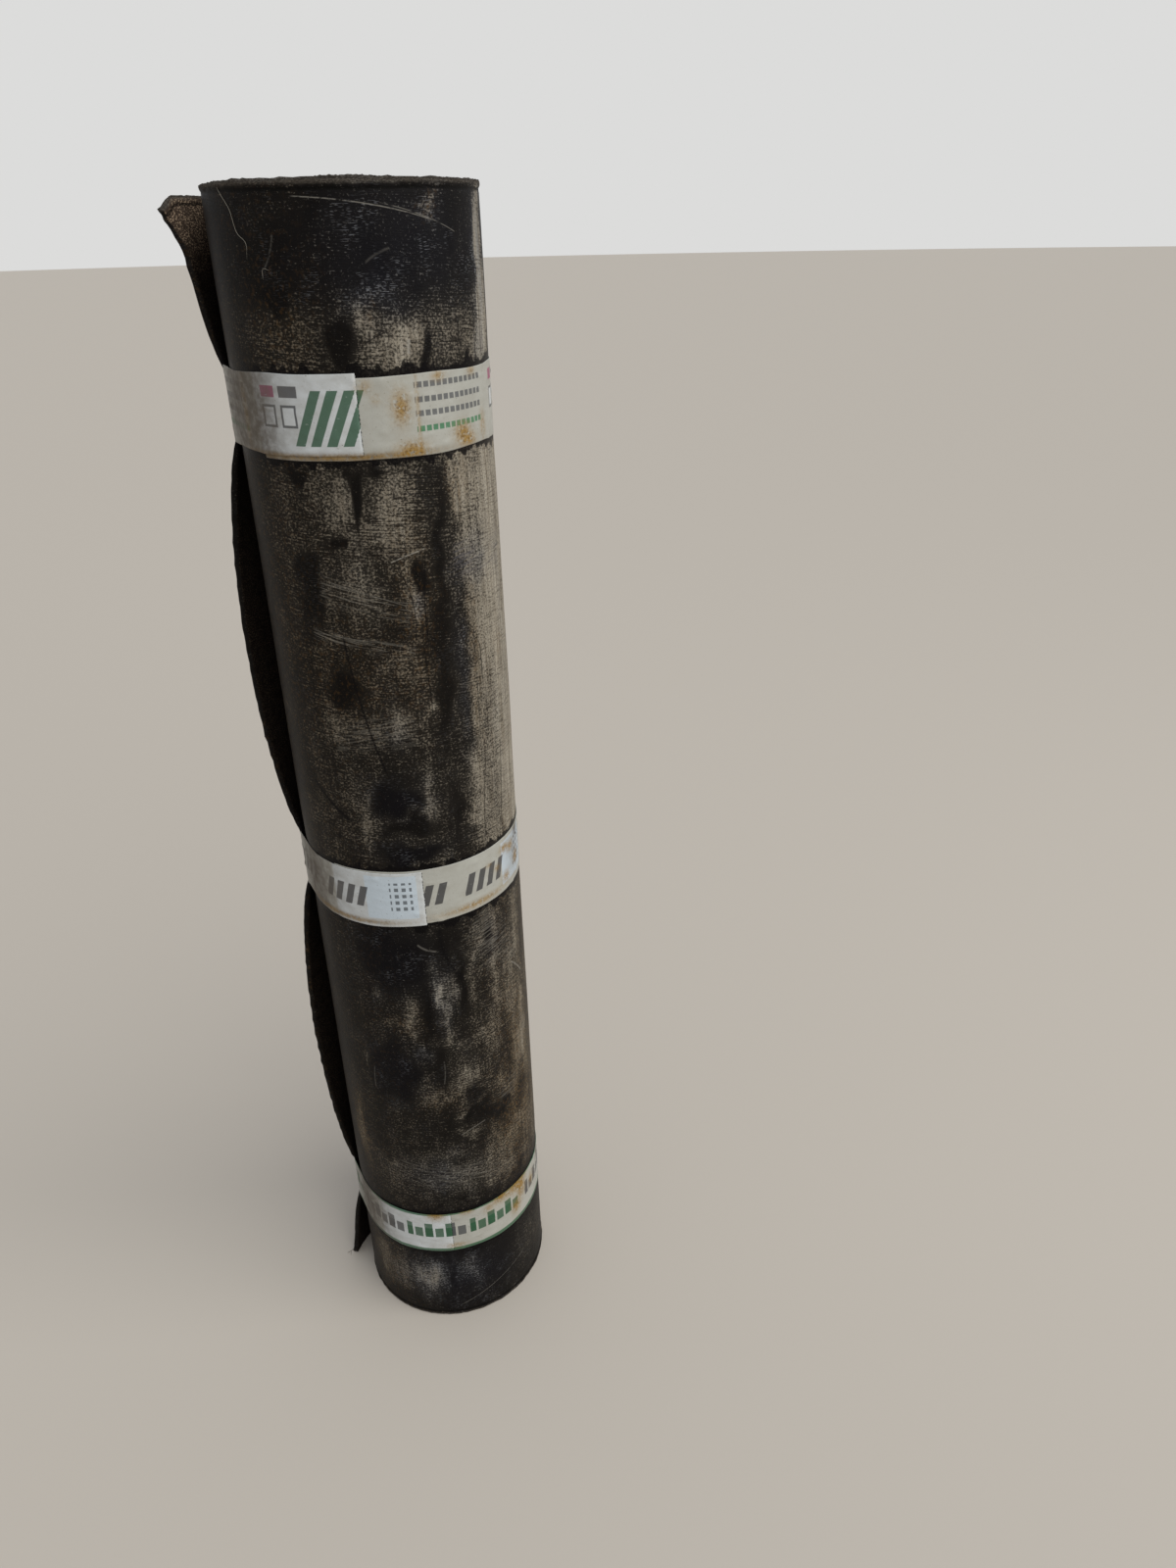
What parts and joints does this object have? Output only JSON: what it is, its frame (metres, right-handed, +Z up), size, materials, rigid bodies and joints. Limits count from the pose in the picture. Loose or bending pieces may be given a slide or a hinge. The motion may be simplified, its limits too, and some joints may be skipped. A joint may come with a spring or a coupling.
{
  "type": "roll of roofing felt",
  "caption": "Roll of torch-on bitumen roofing felt standing on its end, its sprung free edge held to the roll by film tape bands, with an open bore down the middle.",
  "frame": {"origin": "on the bore's axis, at the end of the roll that stands on the floor", "axes": "+Z up along the bore, +X to the right and +Y away as the roll is seen from the front; the sheet's free edge is on the -X side, and seen from above the sheet is wound outwards counter-clockwise"},
  "size_m": [0.209, 0.1832, 1.004],
  "materials": {
    "felt": "matte, weathered bitumen with a dusty film",
    "tape": "satin, stained translucent film"
  },
  "bodies": {
    "root": {"felt_roll": "felt", "band_bottom": "tape", "band_middle": "tape", "band_top": "tape"}
  },
  "joints": []
}
